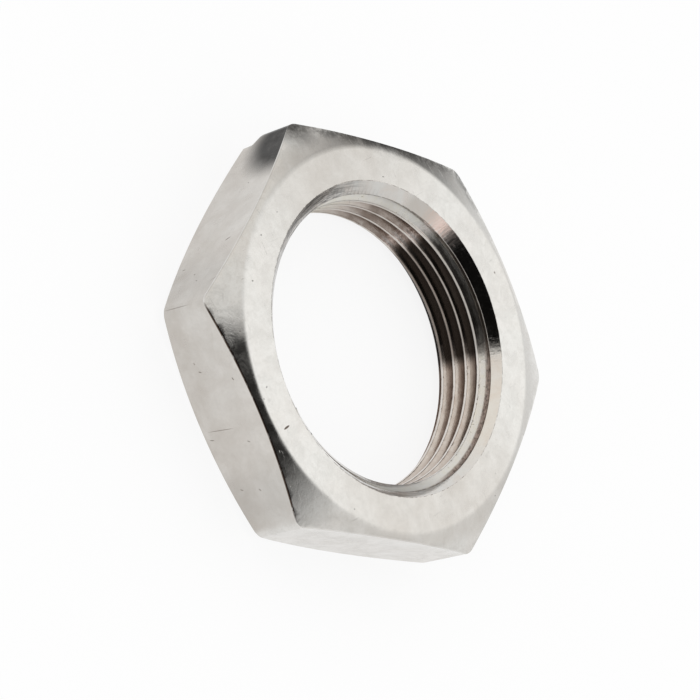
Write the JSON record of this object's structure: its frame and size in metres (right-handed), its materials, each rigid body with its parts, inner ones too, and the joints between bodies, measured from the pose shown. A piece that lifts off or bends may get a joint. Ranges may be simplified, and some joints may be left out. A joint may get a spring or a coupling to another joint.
{
  "type": "lock nut",
  "caption": "Flat hexagonal lock nut with chamfered corners and a countersunk, threaded bore, in satin nickel plate.",
  "frame": {"origin": "on the bore axis, in the plane of the rear face that the nut lies on", "axes": "+Z along the bore axis towards the front face, +X through a hex corner"},
  "size_m": [0.063, 0.055, 0.012],
  "materials": {
    "nickel_plate": "satin nickel plate over turned brass"
  },
  "bodies": {
    "root": {"lock_nut": "nickel_plate"}
  },
  "joints": []
}
